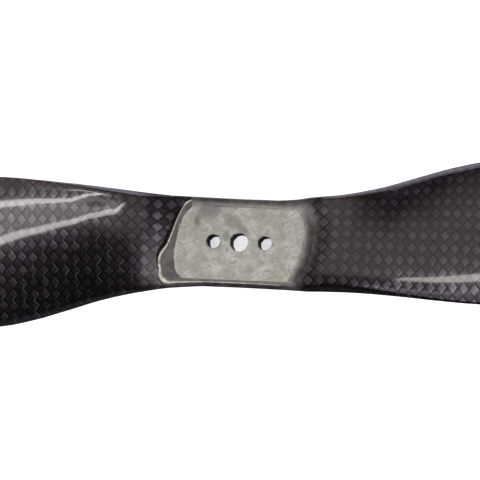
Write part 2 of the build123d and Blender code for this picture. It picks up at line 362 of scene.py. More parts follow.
def add(tree: Tree, kind: str, inputs: dict | None = None,
        **settings: object) -> bpy.types.Node:
    """Add a node with its settings and links.

    Args:
        tree: the node tree.
        kind: the node's type name.
        inputs: socket name or index to a value, or to another node's output socket.
        **settings: properties of the node itself.

    Returns:
        The new node.
    """
    made = tree.nodes.new(kind)
    for name, value in settings.items():
        setattr(made, name, value)
    plug(tree, made, inputs or {})
    return made


def maths(tree: Tree, operation: str, *values: object) -> Socket:
    """Add a Math node and return its output."""
    return add(tree, "ShaderNodeMath", dict(enumerate(values)), operation=operation).outputs[0]


def times(tree: Tree, first: object, second: object) -> Socket:
    """Return the product of two values."""
    return maths(tree, "MULTIPLY", first, second)


def plus(tree: Tree, first: object, second: object) -> Socket:
    """Return the sum of two values."""
    return maths(tree, "ADD", first, second)


def minus(tree: Tree, first: object, second: object) -> Socket:
    """Return the first value less the second."""
    return maths(tree, "SUBTRACT", first, second)


def vector_maths(tree: Tree, operation: str, first: object, second: object) -> Socket:
    """Add a Vector Math node on two vectors or colours and return its output."""
    return add(tree, "ShaderNodeVectorMath", {0: first, 1: second}, operation=operation).outputs[0]


def scaled(tree: Tree, vector: object, factor: object) -> Socket:
    """Return a vector or colour scaled by a value."""
    return add(tree, "ShaderNodeVectorMath", {0: vector, "Scale": factor},
               operation="SCALE").outputs[0]


def plan_length(tree: Tree, place: Socket) -> Socket:
    """Return how far a place lies from the origin, seen in plan."""
    flat = vector_maths(tree, "MULTIPLY", place, (1, 1, 0))
    return add(tree, "ShaderNodeVectorMath", {0: flat}, operation="LENGTH").outputs[1]


def bumped(tree: Tree, height: Socket, strength: float, depth_mm: float,
           normal: Socket | None = None) -> Socket:
    """Add a Bump node, on top of another's normal if one is given, and return its normal."""
    inputs = {"Height": height, "Strength": strength, "Distance": depth_mm * MM}
    if normal is not None:
        inputs["Normal"] = normal
    return add(tree, "ShaderNodeBump", inputs).outputs[0]


def mix(tree: Tree, share: object, first: object, second: object,
        blend: str = "MIX") -> Socket:
    """Add a colour Mix node and return its output."""
    made = add(tree, "ShaderNodeMix", {0: share, 6: first, 7: second},
               data_type="RGBA", blend_type=blend)
    return made.outputs[2]


def spread(tree: Tree, value: object, low: float, high: float,
           to_low: float = 0.0, to_high: float = 1.0) -> Socket:
    """Add a clamped Map Range node and return its output."""
    made = add(tree, "ShaderNodeMapRange",
               {0: value, 1: low, 2: high, 3: to_low, 4: to_high}, interpolation_type="SMOOTHSTEP")
    return made.outputs[0]


def noise(tree: Tree, place: Socket, size_mm: float,
          detail: float = 3.0, roughness: float = 0.55) -> Socket:
    """Add a Noise node whose blobs are about size_mm across and return its value."""
    made = add(tree, "ShaderNodeTexNoise",
               {"Vector": place, "Scale": 1 / (size_mm * MM), "Detail": detail,
                "Roughness": roughness})
    return made.outputs[0]


def object_place(tree: Tree) -> Socket:
    """Return the Object coordinates of the piece."""
    return add(tree, "ShaderNodeTexCoord").outputs["Object"]


def new_material(name: str) -> tuple[bpy.types.Material, Tree, bpy.types.Node]:
    """Make an empty material with a Principled shader.

    Args:
        name: the finish's plain name.

    Returns:
        The material, its tree and its Principled node.
    """
    material = bpy.data.materials.new(name)
    material.use_nodes = True
    tree = material.node_tree
    tree.nodes.clear()
    shader = add(tree, "ShaderNodeBsdfPrincipled")
    add(tree, "ShaderNodeOutputMaterial", {0: shader.outputs[0]})
    return material, tree, shader


def plug(tree: Tree, node: bpy.types.Node, values: dict) -> None:
    """Set or link several sockets of a node, by name or index."""
    for name, value in values.items():
        if isinstance(value, Socket):
            tree.links.new(value, node.inputs[name])
        else:
            node.inputs[name].default_value = value


@dataclass(frozen=True)
class GroundTone:
    """The colour of epoxy laminate ground flat with a coarse disc, shared by its neighbours.

    Grinding opens the plies unevenly, so the face is cloudy beige-grey with long sanding
    streaks and greener where the resin is thick; two darker oval patches lie towards its left and
    back.
    """

    pale: str = "979894"
    middle: str = "7a7b76"
    dark: str = "4b4d4b"
    tint: str = "747562"
    patch_tone: str = "4c4e52"
    smudge: str = "555753"
    streak_mm: float = 1.1
    scratch_mm: float = 0.3
    # Darker oval patches: x, y, length and width in mm, and turn.
    dark_patches: Sequence[tuple[float, float, float, float, float]] = (
        (-7.2, 7.4, 3.6, 2.4, 0.3), (-10.0, 4.6, 1.0, 2.0, 0.0))
    smudge_spots: Sequence[tuple[float, float, float, float, float]] = (
        (-1.6, 4.6, 3.1, 1.6, -0.5), (0.8, 2.9, 1.6, 1.0, -0.6), (-3.0, 1.3, 1.0, 1.6, 0.0))

    def build(self, tree: Tree,
              place: Socket) -> tuple[Socket, Socket]:
        """Add the ground colour to a tree.

        Args:
            tree: the material's tree.
            place: Object coordinates.

        Returns:
            The colour and the height of the scratches.
        """
        clouds = noise(tree, place, 3.6, 5.0, 0.66)
        grain = noise(tree, place, 0.55, 3.0, 0.75)
        streaks = self._lines(tree, place, ((-0.62, self.streak_mm), (-0.15, 0.8 * self.streak_mm)),
                              0.16)
        scratches = self._lines(tree, place, ((0.9, self.scratch_mm), (-0.45, self.scratch_mm)),
                                0.07)
        tone = mix(tree, spread(tree, clouds, 0.38, 0.6), linear(self.middle), linear(self.pale))
        tone = mix(tree, spread(tree, noise(tree, place, 5.5, 3.0), 0.5, 0.66, 0, 0.6),
                   tone, linear(self.tint))
        tone = mix(tree, times(tree, streaks, 0.6), tone, linear(self.middle))
        tone = mix(tree, spread(tree, noise(tree, place, 1.8, 4.0, 0.6), 0.55, 0.7, 0, 0.55),
                   tone, linear(self.dark))
        tone = mix(tree, times(tree, scratches, 0.22), tone, linear(self.dark))
        tone = mix(tree, spread(tree, grain, 0.45, 0.7, 0, 0.35), tone, linear(self.dark))
        # Two darker oval patches towards the left and back of the face, then the dark stains.
        for spots, colour, share in ((self.dark_patches, self.patch_tone, 0.85),
                                     (self.smudge_spots, self.smudge, 0.75)):
            for spot in spots:
                mask = times(tree, self._spot(tree, place, *spot), share)
                tone = mix(tree, mask, tone, linear(colour))
        return tone, plus(tree, grain, times(tree, scratches, 0.6))

    @staticmethod
    def _lines(tree: Tree, place: Socket,
               runs: Sequence[tuple[float, float]], stretch: float) -> Socket:
        """Return long thin marks, one set for each (turn, width in mm)."""
        found = []
        for turn, size in runs:
            turned = add(tree, "ShaderNodeMapping",
                         {"Vector": place, "Rotation": (0, 0, turn), "Scale": (1, 1, 1)})
            long = vector_maths(tree, "MULTIPLY", turned.outputs[0], (stretch, 1, 1))
            found.append(spread(tree, noise(tree, long, size, 2.0), 0.5, 0.68))
        return maths(tree, "MAXIMUM", *found)

    @staticmethod
    def _spot(tree: Tree, place: Socket, x: float, y: float,
              long: float, short: float, turn: float) -> Socket:
        """Return a soft ragged oval patch centred at x, y, all in mm."""
        local = add(tree, "ShaderNodeMapping",
                    {"Vector": place, "Location": (x * MM, y * MM, 0), "Rotation": (0, 0, turn),
                     "Scale": (long * MM, short * MM, 1.0)}, vector_type="TEXTURE").outputs[0]
        reach = plan_length(tree, local)
        rough = minus(tree, noise(tree, place, 2.0, 3.0), 0.5)
        reach = plus(tree, reach, rough)
        return spread(tree, reach, 0.4, 1.25, 1.0, 0.0)


@dataclass(frozen=True)
class WovenCarbon:
    """3K plain-weave carbon cloth under clear epoxy, moulded glossy.

    The tows are 2 mm wide and cross the blade axis near 45 degrees. Fibres gleam across
    their run only, so warp and weft trade light and dark as the light moves; on top of that
    the warp is painted lighter than the weft, as painted sheen and shade. This gives a chequer
    of lozenges with a thin grey painted glint where one tow dives under the next. The epoxy
    over them is smooth as glass, with a faint print-through of the cloth.
    """

    name: str = "woven_carbon_in_clear_epoxy"
    tow_mm: float = 2.0
    # The warp is painted lighter than the weft: painted sheen on one tow direction and painted shade
    # on the other, though both are the same carbon.
    warp: str = "433e47"
    weft: str = "2c282f"
    shade: str = "050505"
    # Colour of the painted highlight: thin grey glints on the tow edges.
    glint: str = "505250"
    resin: str = "1f1c1f"
    resin_pale: str = "3b393c"
    smear: str = "231d1b"
    tow_height_mm: float = 0.06
    wander_mm: float = 11.0
    sway: float = 0.7
    crown_power: float = 0.35
    rise_power: float = 0.45
    ripple_mm: float = 5.0
    print_through: float = 0.08
    metallic: float = 0.9
    ground: GroundTone = field(default_factory=GroundTone)

    def build(self) -> bpy.types.Material:
        """Build the cloth from the piece's own cloth map and its masks."""
        material, tree, shader = new_material(self.name)
        cloth = add(tree, "ShaderNodeUVMap", uv_map="cloth").outputs[0]
        apart = add(tree, "ShaderNodeSeparateXYZ", {0: cloth})
        wander = add(tree, "ShaderNodeTexNoise",
                     {"Vector": cloth, "Scale": 1 / (self.wander_mm * MM), "Detail": 2.0}).outputs[0]
        sway = times(tree, minus(tree, wander, 0.5), self.sway)
        bias = self.tow_mm * math.sqrt(2) * MM
        along = maths(tree, "DIVIDE", apart.outputs[0], bias)
        across = plus(tree, maths(tree, "DIVIDE", apart.outputs[1], bias), sway)
        first = plus(tree, along, across)
        second = minus(tree, along, across)
        cells = plus(tree, maths(tree, "FLOOR", first), maths(tree, "FLOOR", second))
        odd = maths(tree, "ABSOLUTE", maths(tree, "MODULO", cells, 2.0))
        first_in = minus(tree, maths(tree, "FRACT", first), 0.5)
        second_in = minus(tree, maths(tree, "FRACT", second), 0.5)
        across_tow = add(tree, "ShaderNodeMix", {0: odd, 2: first_in, 3: second_in}).outputs[0]
        along_tow = add(tree, "ShaderNodeMix", {0: odd, 2: second_in, 3: first_in}).outputs[0]
        crown, rise = (maths(tree, "POWER",
                             maths(tree, "COSINE", times(tree, place, math.pi)), power)
                       for place, power in ((across_tow, self.crown_power),
                                            (along_tow, self.rise_power)))
        height = times(tree, crown, plus(tree, 0.3, times(tree, rise, 0.7)))
        tone, line = self._cloth_tone(tree, cloth, odd, first_in, second_in, along, across)
        masks = {name: add(tree, "ShaderNodeAttribute", attribute_name=name).outputs["Fac"]
                 for name in ("resin", "ground", "gloss", "smear")}
        place = object_place(tree)
        patchy = mix(tree, spread(tree, noise(tree, place, 2.2), 0.35, 0.65),
                     linear(self.resin), linear(self.resin_pale))
        tone = mix(tree, masks["smear"], tone, linear(self.smear))
        tone = mix(tree, masks["resin"], tone, patchy)
        ground, scratches = self.ground.build(tree, place)
        tone = mix(tree, masks["ground"], tone, ground)
        open_cloth = minus(tree, 1.0, masks["resin"])
        relief = times(tree, height, open_cloth)
        woven = bumped(tree, relief, 0.6, self.tow_height_mm)
        marks = bumped(tree, times(tree, scratches, masks["ground"]), 0.3, 0.06, woven)
        ripple = plus(tree, noise(tree, cloth, self.ripple_mm, 1.0),
                      times(tree, relief, self.print_through))
        skin = bumped(tree, ripple, 0.14, 0.1)
        # Metallic is taken off under the painted glints, so their grey shows as a painted highlight.
        fibre = times(tree, open_cloth, times(tree, self.metallic, minus(tree, 1.0, line)))
        plug(tree, shader, {
            "Base Color": tone, "Metallic": fibre,
            "Roughness": spread(tree, masks["ground"], 0.0, 1.0, 0.3, 0.6), "IOR": 1.5,
            "Anisotropic": 0.45, "Tangent": self._fibre_direction(tree, odd),
            "Normal": marks, "Coat Weight": masks["gloss"],
            "Coat Roughness": 0.05, "Coat IOR": 1.5, "Coat Normal": skin})
        return material

    def _cloth_tone(self, tree: Tree, cloth: object, odd: object,
                    first_in: object, second_in: object, along: object,
                    across: object) -> tuple[Socket, Socket]:
        """Return the cloth's colour and the glints' mask: gaps and two sides of each lozenge
        are darkened as painted shade, and thin grey glints are painted highlights.
        """
        fibres = self._fibres(tree, along, across, odd)
        # Painted sheen and shade: warp lozenges take the lighter tone, weft lozenges the darker.
        tone = mix(tree, odd, linear(self.warp), linear(self.weft))
        uneven = spread(tree, noise(tree, cloth, 6.0), 0.3, 0.7, 0.7, 1.25)
        tone = mix(tree, 1.0, tone, uneven, "MULTIPLY")
        tone = mix(tree, spread(tree, fibres, 0.35, 0.75, 0.0, 0.45), tone, linear(self.shade))
        # Painted shade: each lozenge darkens along two of its sides and into the gaps between tows,
        # where the tow rolls away from the light.
        nearest = maths(tree, "MINIMUM", first_in, second_in)
        furthest = maths(tree, "MAXIMUM", first_in, second_in)
        tone = mix(tree, spread(tree, nearest, -0.5, -0.15, 0.95, 0.0), tone, linear(self.shade))
        fickle = spread(tree, noise(tree, cloth, 3.4, 2.0), 0.42, 0.6)
        # Painted highlight: thin grey glints along one side of the warp lozenges, broken up by
        # noise.
        line = times(tree, spread(tree, furthest, 0.39, 0.44),
                     times(tree, fickle, minus(tree, 1.0, odd)))
        # The painted glints stay strongest on the left blade and towards the -y side, where the
        # lamps catch them, and fade elsewhere.
        glint_fade = spread(tree, along, -4.0, 4.0, 0.7, 0.25)
        glint_fade = times(tree, glint_fade, spread(tree, across, 0.2, 2.2, 1.0, 0.15))
        line = times(tree, line, glint_fade)
        return mix(tree, line, tone, linear(self.glint)), line

    @staticmethod
    def _fibres(tree: Tree, along: object, across: object,
                odd: object) -> Socket:
        """Return fine lines along the tow on top: fibre bundles, drawn at 0.15 mm to show."""
        lines = []
        for sign in ("ADD", "SUBTRACT"):
            turned = maths(tree, sign, along, across)
            other = maths(tree, "SUBTRACT" if sign == "ADD" else "ADD", along, across)
            place = add(tree, "ShaderNodeCombineXYZ",
                        {0: times(tree, turned, 13.0),
                         1: times(tree, other, 0.7)}).outputs[0]
            lines.append(add(tree, "ShaderNodeTexNoise",
                             {"Vector": place, "Scale": 1.0, "Detail": 1.0}).outputs[0])
        return add(tree, "ShaderNodeMix", {0: odd, 2: lines[0], 3: lines[1]}).outputs[0]

    @staticmethod
    def _fibre_direction(tree: Tree, odd: object) -> Socket:
        """Return the tangent turned to the run of the tow that lies on top."""
        tangent = add(tree, "ShaderNodeTangent", direction_type="UV_MAP", uv_map="cloth")
        normal = add(tree, "ShaderNodeNewGeometry").outputs["Normal"]
        angle = add(tree, "ShaderNodeMix", {0: odd, 2: Tow.WARP.value, 3: Tow.WEFT.value})
        turned = add(tree, "ShaderNodeVectorRotate",
                     {"Vector": tangent.outputs[0], "Axis": normal, "Angle": angle.outputs[0]})
        return turned.outputs[0]


@dataclass(frozen=True)
class GroundLaminate:
    """The ground hub face: matte epoxy laminate with chipped, dark rims round its holes."""

    name: str = "ground_epoxy_laminate"
    tone: GroundTone = field(default_factory=GroundTone)
    faded: str = "46424a"
    rim: str = "1d1b1e"
    holes_mm: Sequence[tuple[float, float]] = ((-6.0, 1.6), (0.0, 2.1), (6.0, 1.6))

    def build(self) -> bpy.types.Material:
        """Build the ground face from Object coordinates and the piece's ground mask."""
        material, tree, shader = new_material(self.name)
        place = object_place(tree)
        tone, relief = self.tone.build(tree, place)
        open_face = add(tree, "ShaderNodeAttribute", attribute_name="ground").outputs["Fac"]
        tone = mix(tree, open_face, linear(self.faded), tone)
        tone = mix(tree, self._rims(tree, place), tone, linear(self.rim))
        normal = bumped(tree, relief, 0.3, 0.06)
        rough = spread(tree, noise(tree, place, 3.0, 3.0), 0.35, 0.7, 0.45, 0.62)
        plug(tree, shader, {"Base Color": tone, "Roughness": rough, "IOR": 1.5,
                            "Normal": normal})
        return material

    def _rims(self, tree: Tree,
              place: Socket) -> Socket:
        """Return a ragged dark ring round each hole."""
        ragged = times(tree, noise(tree, place, 0.9, 3.0), 1.0 * MM)
        result = 0.0
        for x, radius in self.holes_mm:
            centred = vector_maths(tree, "ADD", place, (-x * MM, 0, 0))
            reach = minus(tree, plan_length(tree, centred), ragged)
            ring = spread(tree, reach, (radius - 0.5) * MM, (radius - 0.25) * MM, 0.9, 0.0)
            result = maths(tree, "MAXIMUM", result, ring)
        return result


@dataclass(frozen=True)
class CuredResin:
    """Cured epoxy squeezed out at a seam: chalky beige where it was scraped, uneven."""

    name: str = "cured_epoxy_flash"
    pale: str = "aba89d"
    dark: str = "6e6b64"

    def build(self) -> bpy.types.Material:
        """Build the flash from Object coordinates."""
        material, tree, shader = new_material(self.name)
        place = object_place(tree)
        patches = noise(tree, place, 1.0, 4.0, 0.65)
        tone = mix(tree, spread(tree, patches, 0.45, 0.68), linear(self.pale), linear(self.dark))
        normal = bumped(tree, noise(tree, place, 0.4), 0.6, 0.1)
        plug(tree, shader, {"Base Color": tone, "Roughness": 0.45, "IOR": 1.5,
                            "Normal": normal})
        return material


class Grain(Enum):
    """How an inner material is built up, as stretch of its grain along x, y and z."""

    ALONG_BLADE = (0.03, 1.0, 1.0)
    STACKED_PLIES = (0.05, 0.05, 1.0)
    EVEN = (1.0, 1.0, 1.0)


@dataclass(frozen=True)
class InnerComposite:
    """A hidden filling of the blade: pressed plies, tape, rovings, foam or filled epoxy.

    It shows only in the walls of the holes, as fine dull layers or cells.
    """

    name: str
    base: str
    other: str
    grain: Grain
    grain_mm: float
    roughness: float = 0.55

    def build(self) -> bpy.types.Material:
        """Build the filling from Object coordinates."""
        material, tree, shader = new_material(self.name)
        stretched = add(tree, "ShaderNodeMapping",
                        {"Vector": object_place(tree), "Scale": self.grain.value}).outputs[0]
        pattern = noise(tree, stretched, self.grain_mm, 3.0, 0.6)
        tone = mix(tree, spread(tree, pattern, 0.35, 0.65), linear(self.base), linear(self.other))
        normal = bumped(tree, pattern, 0.4, 0.05)
        plug(tree, shader, {"Base Color": tone, "Roughness": self.roughness, "IOR": 1.5,
                            "Normal": normal})
        return material


# ---------------------------------------------------------------- meshes

def make_object(name: str, mesh: bpy.types.Mesh) -> Piece:
    """Link a mesh into the scene as an object at the origin."""
    made = bpy.data.objects.new(name, mesh)
    bpy.context.scene.collection.objects.link(made)
    return made


def bake(piece: Piece) -> None:
    """Turn a piece's modifiers into its plain mesh and remove them."""
    graph = bpy.context.evaluated_depsgraph_get()
    mesh = bpy.data.meshes.new_from_object(piece.evaluated_get(graph), depsgraph=graph)
    piece.modifiers.clear()
    piece.data = mesh
    mesh.name = piece.name


def drop(piece: Piece) -> None:
    """Remove a helper object and its mesh."""
    mesh = piece.data
    bpy.data.objects.remove(piece)
    bpy.data.meshes.remove(mesh)


def from_bmesh(name: str, work: bmesh.types.BMesh) -> Piece:
    """Turn finished bmesh work into an object, and free the work."""
    mesh = bpy.data.meshes.new(name)
    work.to_mesh(mesh)
    work.free()
    return make_object(name, mesh)


def add_cut(piece: Piece, operation: str, cutter: Piece) -> None:
    """Cut a piece with a helper object by an exact Boolean."""
    cut = piece.modifiers.new("cut", "BOOLEAN")
    cut.operation = operation
    cut.solver = "EXACT"
    cut.object = cutter


def prism(name: str, outline: list[tuple[float, float]], low: float,
          high: float) -> Piece:
    """Make a closed upright block from a plan outline, all in millimetres."""
    work = bmesh.new()
    base = [work.verts.new((x * MM, y * MM, low * MM)) for x, y in outline]
    face = work.faces.new(base)
    top = bmesh.ops.extrude_face_region(work, geom=[face])["geom"]
    lifted = [v for v in top if isinstance(v, bmesh.types.BMVert)]
    bmesh.ops.translate(work, vec=(0, 0, (high - low) * MM), verts=lifted)
    bmesh.ops.recalc_face_normals(work, faces=work.faces)
    return from_bmesh(name, work)


@dataclass(frozen=True)
class Drape:
    """How the cloth shears as it is laid, like a net of pinned tows.

    Beside the hub its lozenges lie long along the blade, and on the wide part of the blade
    they are pulled across it. The two diagonals keep a constant sum of squares.
    """

    tow_mm: float = 2.0
    stations: Stations = ((0, 2.95), (16, 2.95), (24, 2.8), (34, 2.5), (80, 2.45))

    def along(self, radius: float) -> float:
        """Return the lozenge's length along the blade, in millimetres."""
        return smooth_value(self.stations, radius)

    def across(self, radius: float) -> float:
        """Return the lozenge's width across the blade, in millimetres."""
        return math.sqrt(4 * self.tow_mm ** 2 - self.along(radius) ** 2)

    def flat_place(self, stations: Sequence[float]) -> dict[float, float]:
        """Return each station's place along the cloth as it lay flat, in millimetres."""
        result, place, before = {}, 0.0, 0.0
        for x in sorted(x for x in stations if x >= 0):
            place += (x - before) * self.tow_mm * math.sqrt(2) / self.along(x)
            before = x
            result[x] = place
            result[-x] = -place
        return result


@dataclass
class WovenSkins:
    """The two moulded halves of the woven shell, with the hub windows cut out."""

    shape: BladeShape = field(default_factory=BladeShape)
    outline: HubOutline = field(default_factory=HubOutline)
    finish: WovenCarbon = field(default_factory=WovenCarbon)
    drape: Drape = field(default_factory=Drape)
    thickness: float = 0.4
    facing: float = 0.8
    columns: int = 72
    hub_reach: float = 24.0
    hub_step: float = 0.25
    root_reach: float = 60.0
    root_step: float = 0.75
    blade_step: float = 2.0
    tip_step: float = 0.5
    smear_reach: tuple[float, float] = (0.6, 3.4)
    smear_end: tuple[float, float] = (38.0, 48.0)
    smear_begin: tuple[float, float] = (18.0, 24.0)
    smear_share: float = 0.7
    smear_fades: tuple[float, float] = (0.6, 1.2)
    cutter_reach: tuple[float, float] = (-5.0, 20.0)
    sharp_angle: float = math.radians(40)
    edge_wear: float = 0.9
    edge_wear_reach: tuple[float, float] = (3.2, 4.2)

    def stations(self) -> list[float]:
        """Return the x places of the cross-sections, closest together at the hub."""
        places = [0.0]
        bands = ((self.hub_reach, self.hub_step), (self.root_reach, self.root_step),
                 (self.shape.tip_start, self.blade_step), (self.shape.radius, self.tip_step))
        for reach, step in bands:
            start = places[-1]
            count = round((reach - start) / step)
            places += [start + (reach - start) * i / count for i in range(1, count + 1)]
        return sorted({-x for x in places} | set(places))

    def shell(self, side: Side) -> Piece:
        """Build one closed half shell.

        Args:
            side: which half.

        Returns:
            The object, with its cloth map in metres and its masks.
        """
        work = bmesh.new()
        cloth = work.verts.layers.float_vector.new("cloth_place")
        masks = {name: work.verts.layers.float.new(name)
                 for name in ("resin", "ground", "gloss", "smear")}
        rows = []
        places = self.stations()
        flat = self.drape.flat_place(places)
        for x in places:
            rows.append(self._row(work, Section(self.shape, x), side, cloth, flat[x], masks))
        rings = len(rows[0])
        for before, after in zip(rows, rows[1:]):
            for j in range(rings):
                k = (j + 1) % rings
                work.faces.new((before[j], before[k], after[k], after[j]))
        for row in (rows[0], rows[-1]):
            half = rings // 2
            for j in range(half - 1):
                work.faces.new((row[j], row[j + 1], row[rings - 2 - j], row[rings - 1 - j]))
        bmesh.ops.recalc_face_normals(work, faces=work.faces)
        for face in work.faces:
            face.smooth = True
        mapping = work.loops.layers.uv.new("cloth")
        for face in work.faces:
            for loop in face.loops:
                loop[mapping].uv = loop.vert[cloth].xy
        work.verts.layers.float_vector.remove(cloth)
        return from_bmesh(f"{side.name.lower()}_woven_skin", work)

    def _row(self, work: bmesh.types.BMesh, section: Section, side: Side, cloth: object,
             flat: float, masks: dict[str, object]) -> list[bmesh.types.BMVert]:
        """Add one cross-section: the outer face, then the inner face back again."""
        shares = [(1 - math.cos(math.pi * j / (self.columns - 1))) / 2
                  for j in range(self.columns)]
        inset = self.thickness / (section.front + section.back)
        outer = [section.point(q, side.value) for q in shares]
        for end in (0, -1):
            outer[end].z += side.value * section.SPLIT
        inner = [section.point(inset + (1 - 2 * inset) * q, side.value, self.thickness)
                 for q in reversed(shares)]
        lengths = [0.0]
        for a, b in zip(outer, outer[1:]):
            lengths.append(lengths[-1] + (b - a).length)
        axis = min(range(len(outer)), key=lambda j: abs(outer[j].y))
        zero = lengths[axis] - outer[axis].y
        lengths += lengths[::-1]
        pull = self.drape.tow_mm * math.sqrt(2) / self.drape.across(abs(section.x))
        row = []
        for index, (point, length) in enumerate(zip(outer + inner, lengths)):
            self._grind(point, side, 0.0 if index < len(outer) else self.thickness)
            vert = work.verts.new(point * MM)
            vert[cloth] = (flat * MM, (length - zero) * pull * MM, 0)
            upper = side is Side.UPPER
            values = {"resin": self.outline.resin(point.x, point.y),
                      "ground": self.outline.ground(point.x, point.y) if upper else 0.0,
                      "gloss": self.outline.gloss(point.x, point.y)
                      * self._worn(section, point.y),
                      "smear": self._smear(section, point.y) if upper else 0.0}
            for name, layer in masks.items():
                vert[layer] = values[name]
            row.append(vert)
        return row

    def _grind(self, point: Vector, side: Side, depth: float) -> None:
        """Bring a point down to what grinding left beside the hub windows."""
        if side is Side.UPPER:
            if abs(point.x) < self.hub_reach:
                point.z = min(point.z, self.outline.top_limit(point.x, point.y) - depth)
        else:
            point.z = max(point.z, 0.0)

    def _worn(self, section: Section, y: float) -> float:
        """Tell how much polish grit has left along the leading edge."""
        inside = section.front + section.turn * y
        wear = self.edge_wear if section.turn > 0 else 0.0
        return 1 - wear * (1 - ease(*self.edge_wear_reach, inside))

    def _smear(self, section: Section, y: float) -> float:
        """Tell how brown a band of spare resin lies along the trailing edge."""
        low, high = self.smear_reach
        inside = section.back - section.turn * y
        radius, (rise, fall) = abs(section.x), self.smear_fades
        along = ease(*self.smear_begin, radius) * (1 - ease(*self.smear_end, radius))
        across = ease(low, low + rise, inside) * (1 - ease(high - fall, high, inside))
        return self.smear_share * along * across

    def build(self) -> dict[Side, Piece]:
        """Build both skins, cut their windows and dress them."""
        made = {}
        material = self.finish.build()
        for side in Side:
            skin = self.shell(side)
            low, high = self.cutter_reach
            if side is Side.UPPER:
                low = self.shape.hub_height - self.facing
            else:
                high = self.facing
            cutter = prism("window_cutter", self.outline.window(), low, high)
            add_cut(skin, "DIFFERENCE", cutter)
            bake(skin)
            drop(cutter)
            skin.data.materials.clear()
            skin.data.materials.append(material)
            skin.data.set_sharp_from_angle(angle=self.sharp_angle)
            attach(skin, "root")
            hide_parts(f"{side.name.lower()}_skin")
            made[side] = skin
            LOG.info("%s: %d faces", skin.name, len(skin.data.polygons))
        return made


@dataclass
class HubFacings:
    """The two ground ply packs that the motor and the washer bear on."""

    outline: HubOutline = field(default_factory=HubOutline)
    finish: GroundLaminate = field(default_factory=GroundLaminate)
    bond: float = 0.005
    step: float = 0.25
    unevenness: float = 0.02
    plate: tuple[float, float] = (31.5, 18.5)
    plate_corner: tuple[float, float] = (-15.75, -9.5)
    hole_sides: int = 40
    sharp_angle: float = math.radians(35)
    chip: float = 0.09

    def _slab(self, name: str, low: float, high: float) -> Piece:
        """Make a closed plate whose two faces are fine grids, larger than the window."""
        along, across = ([start + self.step * i for i in range(round(size / self.step) + 1)]
                         for start, size in zip(self.plate_corner, self.plate))
        work = bmesh.new()
        sheets = {z: [[work.verts.new((x * MM, y * MM, z * MM)) for y in across] for x in along]
                  for z in (low, high)}
        for z, sheet in sheets.items():
            for first, second in zip(sheet, sheet[1:]):
                for j in range(len(across) - 1):
                    work.faces.new((first[j], second[j], second[j + 1], first[j + 1]))
        rims = [self._rim(sheets[z]) for z in (low, high)]
        for i in range(len(rims[0])):
            k = (i + 1) % len(rims[0])
            work.faces.new((rims[0][i], rims[0][k], rims[1][k], rims[1][i]))
        bmesh.ops.recalc_face_normals(work, faces=work.faces)
        return from_bmesh(name, work)

    @staticmethod
    def _rim(sheet: list[list[bmesh.types.BMVert]]) -> list[bmesh.types.BMVert]:
        """Return the vertices round the edge of a grid, in order."""
        bottom = [row[0] for row in sheet]
        top = [row[-1] for row in reversed(sheet)]
        return bottom + sheet[-1][1:-1] + top + sheet[0][-2:0:-1]

    def _ragged(self, x: float, radius: float) -> list[tuple[float, float]]:
        """Return the outline of a drilled hole with small chips in its rim."""
        points = []
        for i in range(self.hole_sides):
            turn = math.tau * i / self.hole_sides
            wave = math.sin(3 * turn + x) + math.sin(7 * turn + 2 * x) + math.sin(12 * turn + x)
            reach = radius + self.chip * max(0.0, wave - 0.6)
            points.append((x + reach * math.cos(turn), reach * math.sin(turn)))
        return points

    def _unevenness(self, x: float, y: float) -> float:
        """Return how far the disc dug in at a place, in millimetres."""
        return self.unevenness * (math.sin(1.9 * x + 1.1 * y) + math.sin(0.8 * x - 2.3 * y)
                                  + 0.6 * math.sin(4.3 * x + 3.1 * y)) / 2

    def build(self) -> list[Piece]:
        """Cut each facing out of a fine plate, drill it and dress it."""
        made = []
        material = self.finish.build()
        shrink = 1 - self.bond / self.outline.back
        window = [(x * shrink, y * shrink) for x, y in self.outline.window()]
        for node in ("hub_top_facing", "hub_bottom_facing"):
            lowest, highest = (corner.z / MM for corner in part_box(node))
            facing = self._slab(f"{node}_ground", lowest, highest)
            cutters = [("INTERSECT", prism("window", window, lowest - 1, highest + 1))]
            cutters += [("DIFFERENCE", prism("hole", self._ragged(x, radius), lowest - 1,
                                             highest + 1))
                        for x, radius in self.finish.holes_mm]
            for operation, cutter in cutters:
                add_cut(facing, operation, cutter)
            bake(facing)
            for _, cutter in cutters:
                drop(cutter)
            self._finish_mesh(facing, node, lowest, highest)
            facing.data.materials.clear()
            facing.data.materials.append(material)
            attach(facing, "root")
            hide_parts(node)
            made.append(facing)
            LOG.info("%s: %d faces", facing.name, len(facing.data.polygons))
        return made

    def _finish_mesh(self, facing: Piece, node: str, lowest: float,
                     highest: float) -> None:
        """Dig the outer face in unevenly and write the mask of the open ground face."""
        outer = highest if "top" in node else lowest
        inward = -1 if "top" in node else 1
        mask = facing.data.attributes.new("ground", "FLOAT", "POINT")
        for vertex, item in zip(facing.data.vertices, mask.data):
            x, y, z = vertex.co / MM
            if abs(z - outer) < self.unevenness:
                vertex.co.z += inward * abs(self._unevenness(x, y)) * MM
            item.value = max(0.0, self.outline.ground(x, y)) if "top" in node else 1.0
        for face in facing.data.polygons:
            face.use_smooth = True
        facing.data.set_sharp_from_angle(angle=self.sharp_angle)


